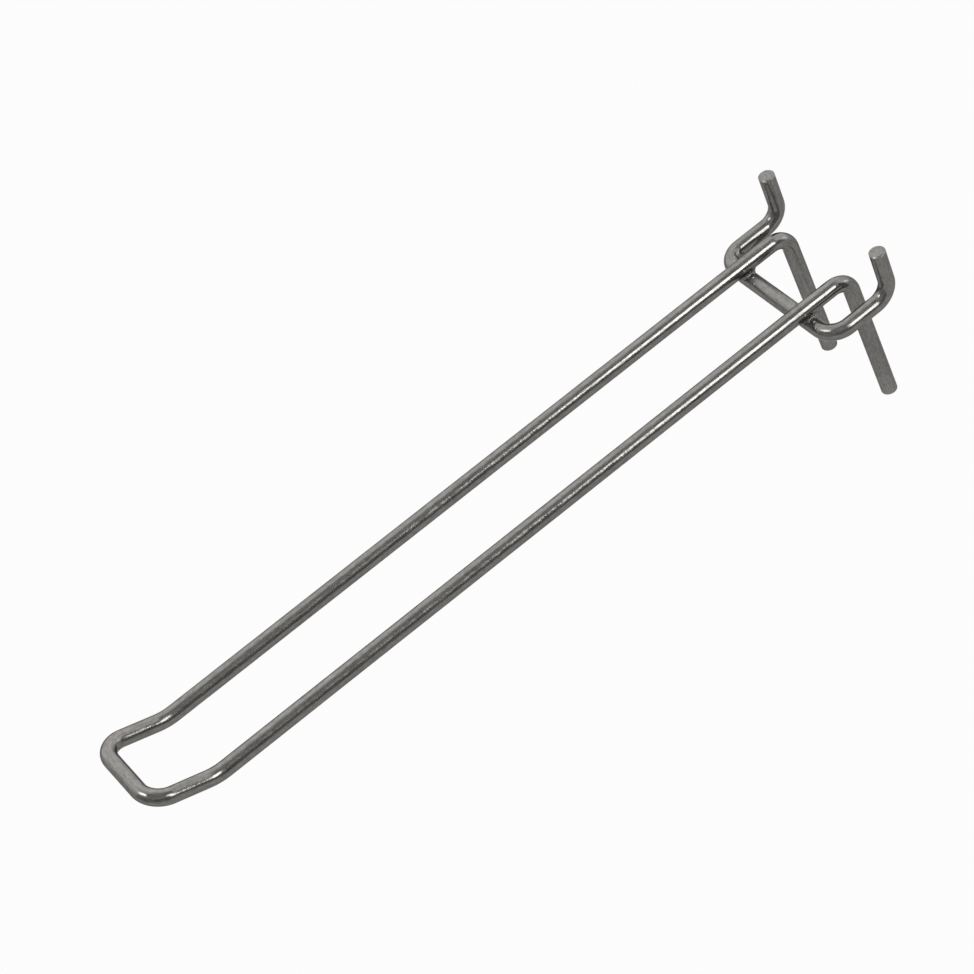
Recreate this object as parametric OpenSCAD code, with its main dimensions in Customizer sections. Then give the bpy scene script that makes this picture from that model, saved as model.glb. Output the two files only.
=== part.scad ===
// Double pegboard hook for hanging goods on a perforated panel.
// One bent wire makes both arms, the raised nose that joins them and the two legs
// that rest on the panel. A second bent wire crosses under the arms: its two shanks
// pass beside the legs, through two holes of the panel, and end in upturned pegs that
// hook behind it. The wires sink a little into each other at the two crossings, where
// they are resistance welded, and the squeezed-out metal leaves a fillet all round.
//
// The panel's front face is the plane y = 0, with X along it, Y into it and Z up.
// The origin lies midway between the two holes, at the height of their centres.

/* [Wire] */
// Diameter of both wires
wire_d = 5; // [4:0.1:6]
// Bevel on each cut wire end
end_bevel = 0.4; // [0.2:0.1:1]
// How much thinner the wire is in its bends, which stretch it
bend_thinning = 0.02; // [0.01:0.01:0.1]

/* [Arms] */
// Length along the arms, from the backs of the legs to the front of the nose
reach = 250; // [100:5:400]
// Distance between the centre lines of the two arms
arm_spacing = 28; // [18:1:30]
// Angle at which the arms rise towards the nose
arm_rise = 1.5; // [0:0.5:6]

/* [Nose] */
// Length of the nose, from the bend in each arm to the wire across its front
nose_length = 20.5; // [14:0.5:40]
// Angle at which the nose turns up from the arms
nose_angle = 21; // [10:1:60]
// Radius of the bend from each arm into the nose, at the wire's centre line
nose_bend_r = 16; // [5:1:30]
// Radius of the two front corners of the nose, at the wire's centre line
nose_corner_r = 6.7; // [4:0.1:8.5]

/* [Legs] */
// Length of each leg, from the arm's centre line down to its cut end
leg_length = 50; // [25:1:90]
// Radius of the bend from each arm into its leg, at the wire's centre line
leg_bend_r = 6; // [3.5:0.5:10]

/* [Pegs] */
// Distance between the two pegs, which is twice the panel's hole pitch
peg_pitch = 50; // [48:0.5:80]
// Height of each peg's tip above the centre line of its shank
peg_height = 17; // [12:0.5:30]
// Radius of the bend from each shank into its peg, at the wire's centre line
peg_bend_r = 5.8; // [3.5:0.1:9]
// Gap for the panel between the backs of the legs and the pegs
panel_gap = 0.8; // [0.5:0.1:8]
// Distance from the legs' centre lines forward to the crossbar's centre line
crossbar_setback = 16; // [14:0.5:30]
// Radius of the bends at both ends of the crossbar, at the wire's centre line
crossbar_bend_r = 6; // [3.5:0.5:7]

/* [Welds] */
// Depth to which the arms and the crossbar sink into each other
weld_sink = 0.4; // [0.2:0.1:0.8]
// Radius of the weld's fillet towards each wire
weld_fillet_r = 1.2; // [0.8:0.1:1.4]
// Depth to which the fillet's edge runs into the wires
weld_bite = 0.15; // [0.1:0.05:0.3]
// Distance from the weld's middle to its waist between the wires
weld_waist = 2.8; // [2.4:0.1:3.2]

/* [Hidden] */
$fn = 64;

wire_r = wire_d / 2;

// The wires are worked out with level arms, from the corner where the centre lines of
// an arm and its leg would meet: the arms lie at z = 0 and run forward, along -Y.
arm_length = reach - wire_d - nose_length * cos(nose_angle);
nose_front_y = -arm_length - nose_length * cos(nose_angle);
nose_front_z = nose_length * sin(nose_angle);
leg_bend_angle = 90 - arm_rise;
crossbar_drop = wire_d - weld_sink;
peg_y = wire_d + panel_gap;

// Height of that corner above the hole centres, once the legs hang plumb
corner_z = wire_r * tan(arm_rise) + crossbar_drop / cos(arm_rise);

// Straight length that a bend takes from each side of its corner
function bend_leg(angle, r) = r * tan(angle / 2);

// The steps of half of each wire, from its middle outwards. Each is a straight feed, the
// turn of the bending plane about the wire, the angle of the bend and its radius.
prong_steps = [
    [arm_spacing / 2 - nose_corner_r, 0, 90, nose_corner_r],
    [nose_length - nose_corner_r - bend_leg(nose_angle, nose_bend_r), 90, nose_angle, nose_bend_r],
    [arm_length - bend_leg(nose_angle, nose_bend_r) - bend_leg(leg_bend_angle, leg_bend_r),
        180, leg_bend_angle, leg_bend_r],
    [leg_length - bend_leg(leg_bend_angle, leg_bend_r)]
];
peg_steps = [
    [peg_pitch / 2 - crossbar_bend_r, 0, 90, crossbar_bend_r],
    [crossbar_setback + peg_y - crossbar_bend_r - peg_bend_r, 90, 90, peg_bend_r],
    [peg_height - peg_bend_r]
];

// Where the weld's fillet circles stand, seen along either wire
fillet_rise = wire_r + weld_fillet_r - weld_bite;
fillet_x = sqrt(pow(fillet_rise, 2) - pow(fillet_rise - crossbar_drop, 2));
// Height at which a fillet circle meets the upper wire, above the lower wire's centre
fillet_top = crossbar_drop + wire_r * (fillet_rise - crossbar_drop) / fillet_rise;
// Circles that hollow the weld's four diagonal sides
hollow_r = 3.4;
hollow_x = (weld_waist + hollow_r) / sqrt(2);

// Bend of the wire from +Z towards +X, starting at the origin: a ring of slightly
// stretched wire, cut square across at both ends where the straight lengths begin
module bend(angle, r) {
    across = 2 * (r + wire_d);
    translate([r, 0, 0])
        intersection() {
            rotate([90, 0, 0])
                rotate_extrude()
                    translate([r, 0])
                        circle(d = wire_d - bend_thinning);
            translate([-across, -across / 2, 0])
                cube([2 * across, across, across]);
            rotate([0, angle, 0])
                translate([-across, -across / 2, -across])
                    cube([2 * across, across, across]);
        }
}

// Straight piece of wire along +Z that ends in a bevelled cut
module cut_end(length) {
    cylinder(h = length - end_bevel, d = wire_d);
    translate([0, 0, length - end_bevel])
        cylinder(h = end_bevel, d1 = wire_d, d2 = wire_d - 2 * end_bevel);
}

// Wire laid out as a bending machine makes it, step by step along +Z
module bent_wire(steps, i = 0) {
    feed = steps[i][0];
    if (i == len(steps) - 1) {
        cut_end(feed);
    } else {
        turn = steps[i][1];
        angle = steps[i][2];
        r = steps[i][3];
        cylinder(h = feed, d = wire_d);
        translate([0, 0, feed])
            rotate([0, 0, turn]) {
                bend(angle, r);
                translate([r, 0, 0])
                    rotate([0, angle, 0])
                        translate([-r, 0, 0])
                            bent_wire(steps, i + 1);
            }
    }
}

// Both halves of a wire that starts in the middle of the hook
module both_sides() {
    children();
    mirror([1, 0, 0])
        children();
}

// Moves what is drawn with level arms to where it hangs on the panel
module hung() {
    translate([0, -wire_r, corner_z])
        rotate([-arm_rise, 0, 0])
            children();
}

// Stretch of an arm where it crosses the crossbar
module arm_at_crossing(side) {
    translate([side * arm_spacing / 2, -crossbar_setback, 0])
        rotate([90, 0, 0])
            cylinder(h = 3 * wire_d, d = wire_d, center = true);
}

// Stretch of the crossbar where an arm crosses it
module crossbar_at_crossing(side) {
    translate([side * arm_spacing / 2, -crossbar_setback, -crossbar_drop])
        rotate([0, 90, 0])
            cylinder(h = 3 * wire_d, d = wire_d, center = true);
}

// Arms, nose and legs, one wire
module prong_wire() {
    color("#8d8b87")
        hung()
            both_sides()
                translate([0, nose_front_y, nose_front_z])
                    rotate([-nose_angle, 0, 0])
                        rotate([90, 0, 90])
                            bent_wire(prong_steps);
}

// Crossbar, shanks and pegs, one wire with a saddle for each arm
module peg_wire() {
    color("#858380")
        hung()
            difference() {
                both_sides()
                    translate([0, -crossbar_setback, -crossbar_drop])
                        rotate([90, 0, 90])
                            bent_wire(peg_steps);
                arm_at_crossing(-1);
                arm_at_crossing(1);
            }
}

// Weld seen along the arm: the metal between arm and crossbar, with its fillets
module weld_side() {
    difference() {
        translate([-fillet_x, 0])
            square([2 * fillet_x, fillet_top]);
        for (x = [-fillet_x, fillet_x])
            translate([x, fillet_rise])
                circle(r = weld_fillet_r);
    }
}

// Weld seen from above: a four-pointed star with hollow sides
module weld_plan() {
    difference() {
        square(2 * fillet_x, center = true);
        for (x = [-hollow_x, hollow_x], y = [-hollow_x, hollow_x])
            translate([x, y])
                circle(r = hollow_r);
    }
}

// Fused metal round one crossing
module weld(side) {
    difference() {
        translate([side * arm_spacing / 2, -crossbar_setback, -crossbar_drop])
            intersection() {
                rotate([90, 0, 0])
                    linear_extrude(height = 2 * fillet_x, center = true)
                        weld_side();
                translate([0, 0, crossbar_drop])
                    rotate([90, 0, 90])
                        linear_extrude(height = 2 * fillet_x, center = true)
                            mirror([0, 1])
                                weld_side();
                linear_extrude(height = crossbar_drop)
                    weld_plan();
            }
        arm_at_crossing(side);
        crossbar_at_crossing(side);
    }
}

// Weld under the left arm, seen from the front
module left_weld() {
    color("#6f6d69")
        hung()
            weld(-1);
}

// Weld under the right arm, seen from the front
module right_weld() {
    color("#6f6d69")
        hung()
            weld(1);
}

prong_wire();
peg_wire();
left_weld();
right_weld();
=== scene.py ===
"""Double pegboard hook of polished plated wire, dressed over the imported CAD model.

Both wires are swept again as finer meshes, laid out by the same bending steps as the
CAD wires, so that the draw lines, ripples and pits of drawn wire follow their length.
The panel's front face is the plane y = 0, Z is up and all lengths are in metres.
"""

import math

import bmesh
import bpy
from mathutils import Matrix, Vector, noise

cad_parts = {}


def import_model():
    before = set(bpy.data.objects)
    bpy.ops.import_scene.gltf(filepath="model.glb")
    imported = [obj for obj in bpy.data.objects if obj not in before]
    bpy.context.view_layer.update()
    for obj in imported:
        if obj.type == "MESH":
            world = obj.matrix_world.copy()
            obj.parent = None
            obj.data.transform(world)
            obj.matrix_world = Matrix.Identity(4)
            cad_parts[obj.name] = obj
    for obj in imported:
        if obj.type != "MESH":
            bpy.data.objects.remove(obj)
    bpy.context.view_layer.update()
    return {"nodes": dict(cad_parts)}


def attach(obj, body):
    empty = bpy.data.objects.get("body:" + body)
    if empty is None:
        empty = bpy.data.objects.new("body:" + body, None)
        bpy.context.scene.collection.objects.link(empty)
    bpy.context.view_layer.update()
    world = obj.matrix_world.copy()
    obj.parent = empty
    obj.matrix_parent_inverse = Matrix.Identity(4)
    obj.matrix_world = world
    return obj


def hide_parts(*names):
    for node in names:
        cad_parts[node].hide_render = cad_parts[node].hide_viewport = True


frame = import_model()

MM = 0.001
QUARTER = math.radians(90)
HALF = math.radians(180)
SCENE = bpy.context.scene
WHITE = (1, 1, 1, 1)

# The hook's driving dimensions, as in the part's source.
WIRE_D = 5 * MM
WIRE_R = WIRE_D / 2
END_BEVEL = 0.4 * MM
REACH = 250 * MM
ARM_SPACING = 28 * MM
ARM_RISE = math.radians(1.5)
NOSE_LENGTH = 20.5 * MM
NOSE_ANGLE = math.radians(21)
NOSE_BEND_R = 16 * MM
NOSE_CORNER_R = 6.7 * MM
LEG_LENGTH = 50 * MM
LEG_BEND_R = 6 * MM
PEG_PITCH = 50 * MM
PEG_HEIGHT = 17 * MM
PEG_BEND_R = 5.8 * MM
PANEL_GAP = 0.8 * MM
CROSSBAR_SETBACK = 16 * MM
CROSSBAR_BEND_R = 6 * MM
WELD_SINK = 0.4 * MM

# What follows from them, with level arms, from the corner of an arm and its leg.
ARM_LENGTH = REACH - WIRE_D - NOSE_LENGTH * math.cos(NOSE_ANGLE)
NOSE_FRONT_Y = WIRE_D - REACH
NOSE_FRONT_Z = NOSE_LENGTH * math.sin(NOSE_ANGLE)
LEG_BEND_ANGLE = QUARTER - ARM_RISE
CROSSBAR_DROP = WIRE_D - WELD_SINK
PEG_Y = WIRE_D + PANEL_GAP
CORNER_Z = WIRE_R * math.tan(ARM_RISE) + CROSSBAR_DROP / math.cos(ARM_RISE)

# Rings of a cut end, each as its radius and its distance past the straight wire: one rounds
# off the bevel's outer edge, two its inner edge, and the others divide the flat.
END_RINGS = [
    (WIRE_R - 0.05 * MM, 0.03 * MM),
    (WIRE_R - END_BEVEL + 0.06 * MM, END_BEVEL - 0.05 * MM),
    (WIRE_R - END_BEVEL - 0.08 * MM, END_BEVEL),
    (WIRE_R * 0.7, END_BEVEL),
    (WIRE_R * 0.45, END_BEVEL),
    (WIRE_R * 0.2, END_BEVEL),
]

# How fine the swept wires are, and from which angle on an edge stays sharp.
SEGMENTS = 48
RING_STEP = 1.0 * MM
BEND_STEP = math.radians(4)
SHARP_ANGLE = math.radians(32)

# How far drawing and bending left the wires uneven. Scales are those of the noise, per metre,
# and depths are how far the surface sinks on average.
WAVE_SCALE = 55
WAVE_DEPTH = 0.018 * MM
RIPPLE_SCALE = 260
RIPPLE_DEPTH = 0.007 * MM

# How far from the middle of a weld the wires are darkened, partly a scorch tint and partly painted
# shade where the wires cross.
HEAT_REACH = 4.6 * MM

# Round beads of squeezed-out metal at each crossing: place from its middle, with level arms,
# and radius, all in millimetres.
BEADS = [
    ((2.35, -1.4, 2.9), 0.35),
    ((4.0, -0.2, 0.0), 0.45),
    ((5.9, -1.3, -0.3), 0.35),
    ((-3.9, 0.6, -0.05), 0.45),
    ((-2.35, -1.0, 2.75), 0.35),
]
BEAD_SUBDIVISIONS = 3

# The lip of squeezed-out metal: how high it lies on the wires, how wide it is and how far it
# rises, with the scale and strength of the noise that breaks it up.
LIP_HEIGHT = 0.1 * MM
LIP_SPREAD = 0.16 * MM
LIP_RISE = 0.15 * MM
LIP_SCALE = 750
LIP_CONTRAST = 1.6

# The welds' meshes: how fine they are, and the size and height of their lumps.
WELD_VOXEL = 0.12 * MM
LUMP_SCALE = 900
SMALL_LUMP_SCALE = 2100
SMALL_LUMP_SHARE = 0.5
LUMP_HEIGHT = 0.06 * MM

# How much the welds' metal is painted paler, a painted highlight for the glints of the lip and
# the beads: its share on the lip, and at a bead the share of the distance to the bead's centre
# that its radius has to reach, and how fast it grows from there.
LIP_PAINTED_GLINT = 0.5
BEAD_GLINT_FROM = 0.8
BEAD_GLINT_RATE = 6

# Colours of the plating and the welds, in linear light. The plating's edge colour is that of
# its reflections at a grazing angle.
PLATING_DARK = (0.098, 0.094, 0.090)
PLATING_PALE = (0.216, 0.208, 0.197)
PLATING_EDGE = (0.42, 0.42, 0.42, 1)
PIT_COLOUR = (0.03, 0.028, 0.026)
# Darker near the crossings: partly scorch tint, partly painted shade where the wires meet.
SCORCH_AND_SHADE_COLOUR = (0.072, 0.066, 0.060)
# Dark weld metal: partly scorch, partly painted shade between the wires.
WELD_DARK = (0.055, 0.050, 0.046)
WELD_PALE = (0.12, 0.113, 0.105)
# Pale metal painted on the welds' beads and lip, a painted highlight for their glints.
BEAD_PAINTED_GLINT_COLOUR = (0.30, 0.29, 0.275)

# Marks of the finish: the noise's scale per metre, and how it is stretched across and along
# the wire, where less is longer.
LINE_SCALE = 2600
LINE_STRETCH = (1, 1, 0.03)
CHATTER_SCALE = 900
CHATTER_STRETCH = (0.6, 0.6, 1)
GRAIN_SCALE = 1500
GRAIN_STRETCH = (1, 1, 0.45)
PATCH_SCALE = 1100
PATCH_STRETCH = (1, 1, 0.25)
PIT_SCALE = 420
PIT_STRETCH = (1, 1, 0.55)
PITTED_SCALE = 300
CLOUD_SCALE = 120
SCORCH_SCALE = 1500
WELD_GRAIN_SCALE = 1800
WELD_PATCH_SCALE = 700

# Roughness of the fine noises, and the values between which most of a noise lies.
NOISE_ROUGHNESS = 0.6
NOISE_LOW = 0.3
NOISE_HIGH = 0.7

# How much each mark adds to the plating's tone, from dark to pale.
LINE_TONE = 0.35
CLOUD_TONE = 0.15
GRAIN_TONE = 0.5

# Pits: their size within the pattern's cells, and the noise values between which they set in.
PIT_SIZE = 0.16
PITTED_FROM = 0.60
PITTED_FULLY = 0.66

# Darkening round the welds, partly scorch tint and partly painted shade: how ragged its edge
# is, the heat at which it starts and is full, and its strength.
SCORCH_RAGGED = 0.15
SCORCH_FROM = 0.35
SCORCH_FULLY = 0.9
SCORCH_AND_SHADE_STRENGTH = 0.9

# Depths of the marks in the shading's relief.
LINE_DEPTH = 0.012 * MM
CHATTER_DEPTH = 0.022 * MM
PIT_DEPTH = 0.03 * MM
WELD_GRAIN_DEPTH = 0.015 * MM

# Roughness of the plating and the welds: the noise values between which the plating's patches
# change, the lowest and highest roughness of each, and what each mark adds or takes.
PATCH_LOW = 0.38
PATCH_HIGH = 0.6
PLATING_ROUGHNESS = (0.09, 0.21)
PIT_ROUGHNESS = 0.4
SCORCH_ROUGHNESS = 0.2
WELD_ROUGHNESS = (0.26, 0.42)
BEAD_SMOOTHNESS = 0.12

# How metallic the welds are, and the noise values between which they turn from dark to pale.
WELD_METALLIC = 0.85
WELD_PATCH_LOW = 0.35
WELD_PATCH_HIGH = 0.65

# Distances along the wires from their middles: where the legs, the line above their tips past
# which they are paler, and the pegs begin, how far the crossbar's dull middle reaches, and one
# that lies past the end of any wire.
LEG_RUN = 256 * MM
PALE_TIP_RUN = 296.5 * MM
PEG_RUN = 43 * MM
DULL_MIDDLE_RUN = 15 * MM
PAST_ANY_WIRE = 1.0

# Lengths over which the finish changes at those places, and how much paler it is past the line
# above the leg tips, as a factor.
DULL_FADE = 6 * MM
PALE_TIP_FADE = 0.3 * MM
PALE_TIP_FACTOR = 1.12

# The camera that took the photograph, fitted to the hook's outline.
CAMERA_AIM = Vector((-4.036, -119.365, 11.947)) * MM
CAMERA_AZIMUTH = math.radians(74.81)
CAMERA_ELEVATION = math.radians(45.813)
CAMERA_ROLL = math.radians(-28.219)
CAMERA_DISTANCE = 923.59 * MM
CAMERA_LENS = 122.85
CAMERA_SENSOR = 36
CAMERA_NEAR = 0.05
CAMERA_FAR = 50

# The studio: a floor and a room that are equally white, and the places of cards and lamps.
FLOOR_Z = -900 * MM
FLOOR_HALF = 12
FLOOR_COLOUR = (0.8, 0.8, 0.8, 1)
FLOOR_GLOW = 0.2
ROOM_BRIGHTNESS = 0.97
ROOM_R = 3.5
ROOM_END = 3.4
LAMP_R = 3.0
LAMP_CORNERS = 40
CARD_FOOT_Z = -400 * MM
CARD_TOP_Z = 3.0

# Angles above +X, in degrees, at which one card gives way to the next.
GREY_FROM = 36.5
ROOF_FROM = 96
WALL_FROM = 111


def bend_leg(angle, radius):
    """Straight length that a bend takes from each side of its corner."""
    return radius * math.tan(angle / 2)


NOSE_BEND_LEG = bend_leg(NOSE_ANGLE, NOSE_BEND_R)
LEG_BEND_LEG = bend_leg(LEG_BEND_ANGLE, LEG_BEND_R)

# Steps of half of each wire, from its middle outwards: a straight feed, the turn of the
# bending plane about the wire, the angle of the bend and its radius. The last has no bend.
PRONG_STEPS = [
    (ARM_SPACING / 2 - NOSE_CORNER_R, 0, QUARTER, NOSE_CORNER_R),
    (NOSE_LENGTH - NOSE_CORNER_R - NOSE_BEND_LEG, QUARTER, NOSE_ANGLE, NOSE_BEND_R),
    (ARM_LENGTH - NOSE_BEND_LEG - LEG_BEND_LEG, HALF, LEG_BEND_ANGLE, LEG_BEND_R),
    (LEG_LENGTH - LEG_BEND_LEG, 0, 0, 0),
]
PEG_STEPS = [
    (PEG_PITCH / 2 - CROSSBAR_BEND_R, 0, QUARTER, CROSSBAR_BEND_R),
    (CROSSBAR_SETBACK + PEG_Y - CROSSBAR_BEND_R - PEG_BEND_R, QUARTER, QUARTER, PEG_BEND_R),
    (PEG_HEIGHT - PEG_BEND_R, 0, 0, 0),
]

# From level arms to where the hook hangs, and where each wire and each weld has its middle.
HUNG = Matrix.Translation((0, -WIRE_R, CORNER_Z)) @ Matrix.Rotation(-ARM_RISE, 4, "X")
HUNG_TURN = HUNG.to_3x3()
ALONG_X = Matrix.Rotation(QUARTER, 4, "Z") @ Matrix.Rotation(QUARTER, 4, "X")
PRONG_START = (
    HUNG
    @ Matrix.Translation((0, NOSE_FRONT_Y, NOSE_FRONT_Z))
    @ Matrix.Rotation(-NOSE_ANGLE, 4, "X")
    @ ALONG_X
)
PEG_START = HUNG @ Matrix.Translation((0, -CROSSBAR_SETBACK, -CROSSBAR_DROP)) @ ALONG_X
CROSSINGS = [
    HUNG @ Vector((side * ARM_SPACING / 2, -CROSSBAR_SETBACK, -CROSSBAR_DROP / 2))
    for side in (-1, 1)
]


def placed(name, mesh):
    """New object in the scene with this mesh."""
    piece = bpy.data.objects.new(name, mesh)
    SCENE.collection.objects.link(piece)
    return piece


def clipped(value):
    """The value, kept between 0 and 1."""
    return min(1, max(0, value))


# Wires


def along_straight(place, length, untwist, run):
    """Stations along a straight feed, past its start."""
    count = max(1, round(length / RING_STEP))
    found = []
    for i in range(1, count + 1):
        ahead = length * i / count
        found.append((place @ Matrix.Translation((0, 0, ahead)) @ untwist, run + ahead))
    return found


def past_bend(place, angle, radius):
    """Frame at the end of a bend that starts at this place."""
    centre = Matrix.Translation((radius, 0, 0))
    return place @ centre @ Matrix.Rotation(angle, 4, "Y") @ centre.inverted()


def along_bend(place, angle, radius, untwist, run):
    """Stations round a bend, past its start."""
    count = max(2, math.ceil(angle / BEND_STEP))
    found = []
    for i in range(1, count + 1):
        bent = angle * i / count
        found.append((past_bend(place, bent, radius) @ untwist, run + radius * bent))
    return found


def stations(start, steps):
    """Stations along half a wire, each as a frame with Z along the wire and the distance run.

    The bending plane's turns are taken out again, so that the frames don't twist about the wire.
    """
    place = start
    untwist = Matrix.Identity(4)
    run = 0.0
    found = [(place, run)]
    for feed, turn, angle, radius in steps[:-1]:
        found += along_straight(place, feed, untwist, run)
        run += feed
        place = place @ Matrix.Translation((0, 0, feed)) @ Matrix.Rotation(turn, 4, "Z")
        untwist = Matrix.Rotation(-turn, 4, "Z") @ untwist
        found += along_bend(place, angle, radius, untwist, run)
        run += radius * angle
        place = past_bend(place, angle, radius)
    last_feed = steps[-1][0]
    return found + along_straight(place, last_feed - END_BEVEL, untwist, run)


def half_rings(start, steps):
    """Rings of half a wire out to its cut end, each as a frame, a radius and the distance run."""
    rings = [(place, WIRE_R, run) for place, run in stations(start, steps)]
    place, _, run = rings[-1]
    for radius, past in END_RINGS:
        rings.append((place @ Matrix.Translation((0, 0, past)), radius, run + past))
    return rings


def whole_rings(start, steps):
    """Rings of a whole wire from one cut end to the other: the mirrored half, then the half."""
    half = half_rings(start, steps)
    mirror = Matrix.Diagonal((-1, 1, 1, 1))
    return [(mirror @ place, radius, -run) for place, radius, run in reversed(half[1:])] + half


def welding_heat(point):
    """How much the nearer crossing darkens this point, from 0 to 1: partly the welding's scorch,
    partly painted shade.
    """
    away = min((point - crossing).length for crossing in CROSSINGS)
    return math.exp(-(away / HEAT_REACH) ** 2)


def sink(point, away):
    """How far the drawn and bent wire's surface lies below the true round one."""
    wave = noise.noise(point * WAVE_SCALE + away)
    ripple = noise.noise(point * RIPPLE_SCALE + away)
    return WAVE_DEPTH * (1 + wave) + RIPPLE_DEPTH * (1 + ripple)


def ring_points(place, radius, run, away):
    """Points of one ring, sunk into the true round wire, and where each lies on the wire."""
    points = []
    spots = []
    for i in range(SEGMENTS):
        angle = 2 * math.pi * i / SEGMENTS
        across_x = radius * math.cos(angle)
        across_y = radius * math.sin(angle)
        point = place @ Vector((across_x, across_y, 0))
        inward = (place.translation - point).normalized()
        points.append(point + inward * sink(point, away))
        spots.append((across_x, across_y, run))
    return points, spots


def wire_faces(ring_count):
    """Faces between the rings, and a fan at each cut end round a hub that follows the rings."""
    around = [(i, (i + 1) % SEGMENTS) for i in range(SEGMENTS)]
    last_ring = (ring_count - 1) * SEGMENTS
    first_hub = ring_count * SEGMENTS
    faces = []
    for ring in range(0, last_ring, SEGMENTS):
        following = ring + SEGMENTS
        faces += [(ring + i, ring + j, following + j, following + i) for i, j in around]
    faces += [(first_hub, j, i) for i, j in around]
    faces += [(last_ring + i, last_ring + j, first_hub + 1) for i, j in around]
    return faces


def sweep(name, start, steps, away):
    """A whole wire as one closed mesh that holds where each point lies on it and its heat."""
    rings = whole_rings(start, steps)
    points = []
    spots = []
    for place, radius, run in rings:
        ring, ring_spots = ring_points(place, radius, run, away)
        points += ring
        spots += ring_spots
    for place, _, run in (rings[0], rings[-1]):
        points.append(place.translation)
        spots.append((0, 0, run))
    mesh = bpy.data.meshes.new(name)
    mesh.from_pydata(points, [], wire_faces(len(rings)))
    on_wire = mesh.attributes.new("on_wire", "FLOAT_VECTOR", "POINT")
    on_wire.data.foreach_set("vector", [value for spot in spots for value in spot])
    heat = mesh.attributes.new("heat", "FLOAT", "POINT")
    heat.data.foreach_set("value", [welding_heat(point) for point in points])
    mesh.shade_smooth()
    mesh.set_sharp_from_angle(angle=SHARP_ANGLE)
    mesh.update()
    return placed(name, mesh)


# Materials


class Nodes:
    """Short calls that add shader nodes to one material or world."""

    def __init__(self, owner):
        owner.use_nodes = True
        self.tree = owner.node_tree
        self.tree.nodes.clear()

    def add(self, kind, **settings):
        node = self.tree.nodes.new("ShaderNode" + kind)
        for name, value in settings.items():
            setattr(node, name, value)
        return node

    def link(self, source, target):
        self.tree.links.new(source, target)

    def principled(self, metallic):
        """Principled shader that makes the whole surface."""
        surface = self.add("BsdfPrincipled")
        output = self.add("OutputMaterial")
        self.link(surface.outputs["BSDF"], output.inputs["Surface"])
        surface.inputs["Metallic"].default_value = metallic
        return surface

    def attribute(self, name):
        return self.add("Attribute", attribute_name=name)

    def scaled(self, vector, scale):
        node = self.add("VectorMath", operation="MULTIPLY")
        self.link(vector, node.inputs[0])
        node.inputs[1].default_value = scale
        return node.outputs["Vector"]

    def noise(self, vector, scale, detail=2.0, roughness=0.5):
        node = self.add("TexNoise")
        self.link(vector, node.inputs["Vector"])
        node.inputs["Scale"].default_value = scale
        node.inputs["Detail"].default_value = detail
        node.inputs["Roughness"].default_value = roughness
        return node.outputs["Fac"]

    def ranged(self, value, low, high, to_low, to_high, smooth=False):
        node = self.add("MapRange", interpolation_type="SMOOTHSTEP" if smooth else "LINEAR")
        self.link(value, node.inputs["Value"])
        node.inputs["From Min"].default_value = low
        node.inputs["From Max"].default_value = high
        node.inputs["To Min"].default_value = to_low
        node.inputs["To Max"].default_value = to_high
        return node.outputs["Result"]

    def spread(self, noise_value, to_low, to_high):
        """Stretches what a noise mostly gives to these two values."""
        return self.ranged(noise_value, NOISE_LOW, NOISE_HIGH, to_low, to_high)

    def maths(self, operation, first, second):
        node = self.add("Math", operation=operation)
        for socket, value in zip(node.inputs, (first, second)):
            if isinstance(value, (int, float)):
                socket.default_value = value
            else:
                self.link(value, socket)
        return node.outputs["Value"]

    def total(self, first, *others):
        for other in others:
            first = self.maths("ADD", first, other)
        return first

    def mixed(self, factor, first, second):
        node = self.add("Mix", data_type="RGBA")
        self.link(factor, node.inputs["Factor"])
        for name, value in (("A", first), ("B", second)):
            if isinstance(value, tuple):
                node.inputs[name].default_value = (*value, 1)
            else:
                self.link(value, node.inputs[name])
        return node.outputs["Result"]

    def brighter(self, colour, factor, share):
        node = self.add("Mix", data_type="RGBA", blend_type="MULTIPLY", clamp_result=False)
        self.link(factor, node.inputs["Factor"])
        self.link(colour, node.inputs["A"])
        node.inputs["B"].default_value = (share, share, share, 1)
        return node.outputs["Result"]

    def bump(self, height, distance, under=None):
        node = self.add("Bump")
        self.link(height, node.inputs["Height"])
        node.inputs["Distance"].default_value = distance
        node.inputs["Strength"].default_value = 1.0
        if under is not None:
            self.link(under, node.inputs["Normal"])
        return node.outputs["Normal"]


def pitting(n, on_wire):
    """Small round pits that keep to a few patches of the wire, from 0 to 1."""
    cells = n.add("TexVoronoi", feature="F1")
    n.link(n.scaled(on_wire, PIT_STRETCH), cells.inputs["Vector"])
    cells.inputs["Scale"].default_value = PIT_SCALE
    pits = n.ranged(cells.outputs["Distance"], 0, PIT_SIZE, 1, 0, smooth=True)
    patches = n.noise(on_wire, PITTED_SCALE, detail=1.0)
    return n.maths("MULTIPLY", pits, n.ranged(patches, PITTED_FROM, PITTED_FULLY, 0, 1, smooth=True))


def scorch_and_shade(n, on_wire):
    """Darkened zones round the welds with ragged edges: partly scorch tint, partly painted shade."""
    heat = n.attribute("heat").outputs["Fac"]
    rags = n.noise(on_wire, SCORCH_SCALE, 3.0, NOISE_ROUGHNESS)
    ragged = n.total(heat, n.spread(rags, -SCORCH_RAGGED, SCORCH_RAGGED))
    return n.ranged(ragged, SCORCH_FROM, SCORCH_FULLY, 0, SCORCH_AND_SHADE_STRENGTH, smooth=True)


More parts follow.
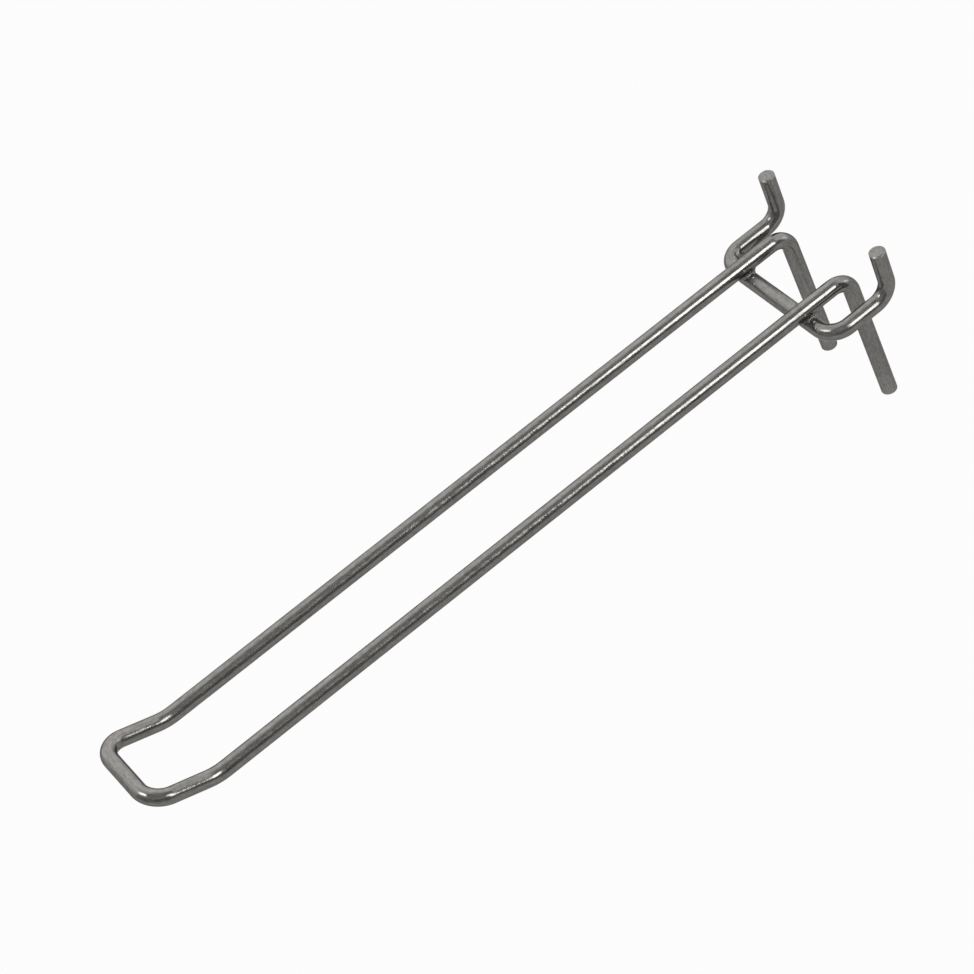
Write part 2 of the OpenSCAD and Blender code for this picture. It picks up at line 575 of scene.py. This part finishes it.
def plating_colour(n, on_wire, lines, pit):
    """Grey plating, mottled by draw lines, clouds and grain, and dark in its pits."""
    cloud = n.noise(on_wire, CLOUD_SCALE, 3.0)
    grain = n.noise(n.scaled(on_wire, GRAIN_STRETCH), GRAIN_SCALE, roughness=NOISE_ROUGHNESS)
    tone = n.total(
        n.spread(lines, 0, LINE_TONE),
        n.spread(cloud, 0, CLOUD_TONE),
        n.spread(grain, 0, GRAIN_TONE),
    )
    return n.mixed(pit, n.mixed(tone, PLATING_DARK, PLATING_PALE), PIT_COLOUR)


def plating_roughness(n, on_wire, pit, dullness, scorched_and_shaded):
    """Bright and less bright patches, rougher in pits, where it is dull and in the darkened zones
    near the welds.
    """
    patches = n.noise(n.scaled(on_wire, PATCH_STRETCH), PATCH_SCALE)
    return n.total(
        n.ranged(patches, PATCH_LOW, PATCH_HIGH, *PLATING_ROUGHNESS),
        n.maths("MULTIPLY", pit, PIT_ROUGHNESS),
        dullness,
        n.maths("MULTIPLY", scorched_and_shaded, SCORCH_ROUGHNESS),
    )


def plating_relief(n, on_wire, lines, pit):
    """Draw lines, faint chatter marks across the wire, and the hollows of the pits."""
    chatter = n.noise(n.scaled(on_wire, CHATTER_STRETCH), CHATTER_SCALE)
    relief = n.bump(lines, LINE_DEPTH)
    relief = n.bump(chatter, CHATTER_DEPTH, under=relief)
    return n.bump(n.maths("SUBTRACT", 1.0, pit), PIT_DEPTH, under=relief)


def plated_wire(name, metallic, dull, dull_from, dull_until=-DULL_FADE, pale_tip_run=PAST_ANY_WIRE):
    """Bright plating over drawn steel wire.

    Along the wire from its middle, it is duller up to one distance and past another, and a
    little paler past a further one.
    """
    material = bpy.data.materials.new(name)
    n = Nodes(material)
    surface = n.principled(metallic)
    surface.inputs["Specular Tint"].default_value = PLATING_EDGE
    on_wire = n.attribute("on_wire").outputs["Vector"]
    split = n.add("SeparateXYZ")
    n.link(on_wire, split.inputs["Vector"])
    run = n.maths("ABSOLUTE", split.outputs["Z"], 0)
    near = n.ranged(run, dull_until, dull_until + DULL_FADE, dull, 0, smooth=True)
    far = n.ranged(run, dull_from, dull_from + DULL_FADE, 0, dull, smooth=True)
    past_pale_line = n.ranged(run, pale_tip_run, pale_tip_run + PALE_TIP_FADE, 0, 1, smooth=True)
    lines = n.noise(n.scaled(on_wire, LINE_STRETCH), LINE_SCALE, 3.0, NOISE_ROUGHNESS)
    pit = pitting(n, on_wire)
    scorched_and_shaded = scorch_and_shade(n, on_wire)
    colour = n.brighter(plating_colour(n, on_wire, lines, pit), past_pale_line, PALE_TIP_FACTOR)
    # Near the welds the colour darkens: partly scorch tint, partly painted shade where the wires
    # cross.
    n.link(n.mixed(scorched_and_shaded, colour, SCORCH_AND_SHADE_COLOUR), surface.inputs["Base Color"])
    roughness = plating_roughness(n, on_wire, pit, n.total(near, far), scorched_and_shaded)
    n.link(roughness, surface.inputs["Roughness"])
    n.link(plating_relief(n, on_wire, lines, pit), surface.inputs["Normal"])
    return material


def weld_metal():
    """Dull steel squeezed out of the joint, dark partly from scorch and partly as painted shade,
    with beads and lips painted paler as a painted highlight.
    """
    material = bpy.data.materials.new("weld_metal")
    n = Nodes(material)
    surface = n.principled(WELD_METALLIC)
    place = n.add("NewGeometry").outputs["Position"]
    bead = n.attribute("bead").outputs["Fac"]
    grain = n.noise(place, WELD_GRAIN_SCALE, 4.0, NOISE_ROUGHNESS)
    patch = n.noise(place, WELD_PATCH_SCALE)
    patch = n.ranged(patch, WELD_PATCH_LOW, WELD_PATCH_HIGH, 0, 1, smooth=True)
    dull = n.mixed(patch, WELD_DARK, WELD_PALE)
    # Beads and lip are painted paler, a painted highlight for their glints.
    n.link(n.mixed(bead, dull, BEAD_PAINTED_GLINT_COLOUR), surface.inputs["Base Color"])
    smoother = n.maths("MULTIPLY", bead, BEAD_SMOOTHNESS)
    roughness = n.maths("SUBTRACT", n.spread(grain, *WELD_ROUGHNESS), smoother)
    n.link(roughness, surface.inputs["Roughness"])
    n.link(n.bump(grain, WELD_GRAIN_DEPTH), surface.inputs["Normal"])
    return material


# Welds


def off_wire(point, on_axis, along):
    """Height of a point above a straight wire's surface, and the direction away from its axis."""
    aside = point - on_axis
    aside -= along * aside.dot(along)
    return aside.length - WIRE_R, aside.normalized()


def lip(point, normal, crossing):
    """Share of the squeezed-out lip here, high where the weld runs out onto either wire."""
    to_axis = HUNG_TURN @ Vector((0, 0, CROSSBAR_DROP / 2))
    arm = (crossing + to_axis, HUNG_TURN @ Vector((0, 1, 0)))
    crossbar = (crossing - to_axis, Vector((1, 0, 0)))
    share = 0
    for on_axis, along in (arm, crossbar):
        height, outward = off_wire(point, on_axis, along)
        near = math.exp(-((height - LIP_HEIGHT) / LIP_SPREAD) ** 2)
        share = max(share, near * max(0, normal.dot(outward)))
    return share


def add_beads(mesh, crossing):
    """Adds round beads to a weld's mesh, and gives their centres and radii."""
    beads = []
    shape = bmesh.new()
    shape.from_mesh(mesh)
    for place, radius in BEADS:
        centre = crossing + HUNG_TURN @ Vector(place) * MM
        beads.append((centre, radius * MM))
        there = Matrix.Translation(centre)
        bmesh.ops.create_icosphere(
            shape, subdivisions=BEAD_SUBDIVISIONS, radius=radius * MM, matrix=there)
    shape.to_mesh(mesh)
    shape.free()
    return beads


def remeshed(piece):
    """Gives a piece a fine and even mesh of the same shape."""
    remesh = piece.modifiers.new("fine", "REMESH")
    remesh.mode = "VOXEL"
    remesh.voxel_size = WELD_VOXEL
    remesh.use_smooth_shade = True
    evaluated = piece.evaluated_get(bpy.context.evaluated_depsgraph_get())
    fine = bpy.data.meshes.new_from_object(evaluated)
    piece.modifiers.clear()
    piece.data = fine
    fine.name = piece.name
    return fine


def weld(node_name, crossing, away):
    """The fused metal at one crossing, lumpy and with a beaded lip where it was squeezed out."""
    mesh = frame["nodes"][node_name].data.copy()
    mesh.materials.clear()
    beads = add_beads(mesh, crossing)
    piece = placed(node_name + "_bead", mesh)
    fine = remeshed(piece)
    normals = [vertex.normal.copy() for vertex in fine.vertices]
    painted_glint = []
    for vertex, normal in zip(fine.vertices, normals):
        small_lump = noise.noise(vertex.co * SMALL_LUMP_SCALE + away)
        lump = noise.noise(vertex.co * LUMP_SCALE + away) + SMALL_LUMP_SHARE * small_lump
        broken = clipped(0.5 + LIP_CONTRAST * noise.noise(vertex.co * LIP_SCALE + 2 * away))
        raised = lip(vertex.co, normal, crossing) * broken
        nearness = max(radius / (vertex.co - centre).length for centre, radius in beads)
        on_bead = clipped(BEAD_GLINT_RATE * (nearness - BEAD_GLINT_FROM))
        # Lip and beads get a painted highlight: their metal is painted paler, most on the beads.
        painted_glint.append(max(LIP_PAINTED_GLINT * raised, on_bead))
        vertex.co += normal * (LUMP_HEIGHT * lump + LIP_RISE * raised)
    fine.attributes.new("bead", "FLOAT", "POINT").data.foreach_set("value", painted_glint)
    fine.shade_smooth()
    fine.update()
    return piece


# Studio


def floor():
    """Pale floor well below the hook, with a glow that makes it as white as the room."""
    mesh = bpy.data.meshes.new("floor")
    sides = ((-1, -1), (1, -1), (1, 1), (-1, 1))
    corners = [(x * FLOOR_HALF, y * FLOOR_HALF, FLOOR_Z) for x, y in sides]
    mesh.from_pydata(corners, [], [(0, 1, 2, 3)])
    plane = placed("floor", mesh)
    material = bpy.data.materials.new("floor")
    n = Nodes(material)
    output = n.add("OutputMaterial")
    paper = n.add("BsdfDiffuse")
    paper.inputs["Color"].default_value = FLOOR_COLOUR
    glow = n.add("Emission")
    path = n.add("LightPath").outputs
    shown = n.maths("MAXIMUM", path["Is Glossy Ray"], path["Is Transmission Ray"])
    shown = n.maths("MAXIMUM", path["Is Camera Ray"], shown)
    n.link(n.maths("MULTIPLY", shown, FLOOR_GLOW), glow.inputs["Strength"])
    both = n.add("AddShader")
    n.link(paper.outputs["BSDF"], both.inputs[0])
    n.link(glow.outputs["Emission"], both.inputs[1])
    n.link(both.outputs["Shader"], output.inputs["Surface"])
    mesh.materials.append(material)


def world():
    """Plain white room."""
    room = bpy.data.worlds.new("room")
    SCENE.world = room
    n = Nodes(room)
    output = n.add("OutputWorld")
    plain = n.add("Background")
    plain.inputs["Strength"].default_value = ROOM_BRIGHTNESS
    plain.inputs["Color"].default_value = WHITE
    n.link(plain.outputs["Background"], output.inputs["Surface"])


def card(name, corners, tone=0.0, lamp=0.0):
    """Flat card that shows in reflections alone: a dark or grey one has a tone, a lamp shines."""
    mesh = bpy.data.meshes.new(name)
    mesh.from_pydata(corners, [], [tuple(range(len(corners)))])
    piece = placed(name, mesh)
    piece.visible_camera = False
    piece.visible_shadow = False
    piece.visible_diffuse = False
    material = bpy.data.materials.new(name)
    n = Nodes(material)
    output = n.add("OutputMaterial")
    shader = n.add("Emission" if lamp else "BsdfDiffuse")
    shader.inputs["Color"].default_value = WHITE if lamp else (tone, tone, tone, 1)
    if lamp:
        shader.inputs["Strength"].default_value = lamp
    n.link(shader.outputs[0], output.inputs["Surface"])
    mesh.materials.append(material)


def arc_card(name, angles, ys, tone=0.0, lamp=0.0, radius=ROOM_R):
    """Card along Y between two angles above +X, in degrees, seen from the hook."""
    low, high = (
        (radius * math.cos(math.radians(angle)), radius * math.sin(math.radians(angle)))
        for angle in angles
    )
    corners = []
    for (x, z), y in ((low, ys[0]), (low, ys[1]), (high, ys[1]), (high, ys[0])):
        corners.append((x, y, z))
    card(name, corners, tone, lamp)


def side_card(name, y, xs, zs, tone=0.0, lamp=0.0):
    """Upright card across Y."""
    corners = [(xs[0], y, zs[0]), (xs[1], y, zs[0]), (xs[1], y, zs[1]), (xs[0], y, zs[1])]
    card(name, corners, tone, lamp)


def softbox(name, azimuth, elevation, half_width, half_height, lamp, squareness=1.0, lean=0.0):
    """Lamp that faces the hook, round or with its corners filled out where squareness is below 1.

    Angles are in degrees as seen from the hook, the azimuth from +X towards +Y.
    """
    turn = math.radians(azimuth)
    lift = math.radians(elevation)
    level = Vector((math.cos(turn), math.sin(turn), 0))
    outward = level * math.cos(lift) + Vector((0, 0, math.sin(lift)))
    half_across = LAMP_R * math.tan(math.radians(half_width))
    half_up = LAMP_R * math.tan(math.radians(half_height))
    across = Vector((-math.sin(turn), math.cos(turn), 0)) * half_across
    up = outward.cross(across).normalized() * half_up
    leaned = Matrix.Rotation(math.radians(-lean), 3, outward)
    across = leaned @ across
    up = leaned @ up
    corners = []
    for i in range(LAMP_CORNERS):
        angle = 2 * math.pi * i / LAMP_CORNERS
        round_x = math.cos(angle)
        round_y = math.sin(angle)
        square_x = math.copysign(abs(round_x) ** squareness, round_x)
        square_y = math.copysign(abs(round_y) ** squareness, round_y)
        corners.append(outward * LAMP_R + across * square_x + up * square_y)
    card(name, corners, lamp=lamp)


def studio():
    """Dark and grey cards on the camera's side, shining walls behind, and lamps before them."""
    arc_card("dark_card", (-6.4, GREY_FROM), (-ROOM_END, 4), tone=0.32)
    arc_card("grey_card", (GREY_FROM, ROOF_FROM), (-ROOM_END, 2.2), tone=0.85)
    side_card("front_card", -ROOM_END, (-1, 3.5), (CARD_FOOT_Z, CARD_TOP_Z), tone=0.55)
    arc_card("thin_lamp", (35.4, 36.8), (0.15, 0.85), lamp=3.6, radius=LAMP_R)
    arc_card("roof_lamp", (ROOF_FROM, WALL_FROM), (-ROOM_END, ROOM_END), lamp=1.45)
    arc_card("wall_lamp", (WALL_FROM, 176), (-1.9, ROOM_END), lamp=2.0)
    arc_card("low_wall_lamp", (WALL_FROM, 166), (-ROOM_END, -1.9), lamp=1.45)
    side_card("back_lamp", ROOM_END, (-4, 2.5), (-0.1, 4.6), lamp=1.85)
    softbox("key_softbox", azimuth=25.3, elevation=36, half_width=7.2, half_height=16, lamp=9,
            squareness=0.75, lean=8)
    softbox("front_softbox", azimuth=-102, elevation=60, half_width=12, half_height=12, lamp=7.5)
    softbox("back_softbox", azimuth=72, elevation=12, half_width=8, half_height=8, lamp=3.6)


def camera():
    """The photograph's camera."""
    back = Vector((
        math.sin(CAMERA_AZIMUTH) * math.cos(CAMERA_ELEVATION),
        -math.cos(CAMERA_AZIMUTH) * math.cos(CAMERA_ELEVATION),
        math.sin(CAMERA_ELEVATION),
    ))
    data = bpy.data.cameras.new("camera")
    data.lens = CAMERA_LENS
    data.sensor_width = CAMERA_SENSOR
    data.clip_start = CAMERA_NEAR
    data.clip_end = CAMERA_FAR
    rig = placed("camera", data)
    level = (-back).to_track_quat("-Z", "Y").to_matrix().to_4x4()
    rolled = level @ Matrix.Rotation(CAMERA_ROLL, 4, "Z")
    rig.matrix_world = Matrix.Translation(CAMERA_AIM + back * CAMERA_DISTANCE) @ rolled
    SCENE.camera = rig


def dress(piece, node_name, material):
    """Finishes a piece that stands for a CAD node."""
    piece.data.materials.append(material)
    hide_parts(node_name)
    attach(piece, "root")


def build():
    """The whole hook. The last vector of each piece moves its noise, so that no two are alike."""
    long_wire = plated_wire(
        "long_wire", metallic=0.86, dull=0.14, dull_from=LEG_RUN, pale_tip_run=PALE_TIP_RUN)
    cross_wire = plated_wire(
        "cross_wire", metallic=0.75, dull=0.13, dull_from=PEG_RUN, dull_until=DULL_MIDDLE_RUN)
    fused = weld_metal()
    prong = sweep("bent_prong_wire", PRONG_START, PRONG_STEPS, Vector((3, 1, 7)))
    dress(prong, "prong_wire", long_wire)
    pegs = sweep("bent_peg_wire", PEG_START, PEG_STEPS, Vector((11, 5, 2)))
    dress(pegs, "peg_wire", cross_wire)
    dress(weld("left_weld", CROSSINGS[0], Vector((1, 4, 9))), "left_weld", fused)
    dress(weld("right_weld", CROSSINGS[1], Vector((8, 2, 6))), "right_weld", fused)


build()
world()
floor()
studio()
camera()
SCENE.view_settings.view_transform = "Standard"
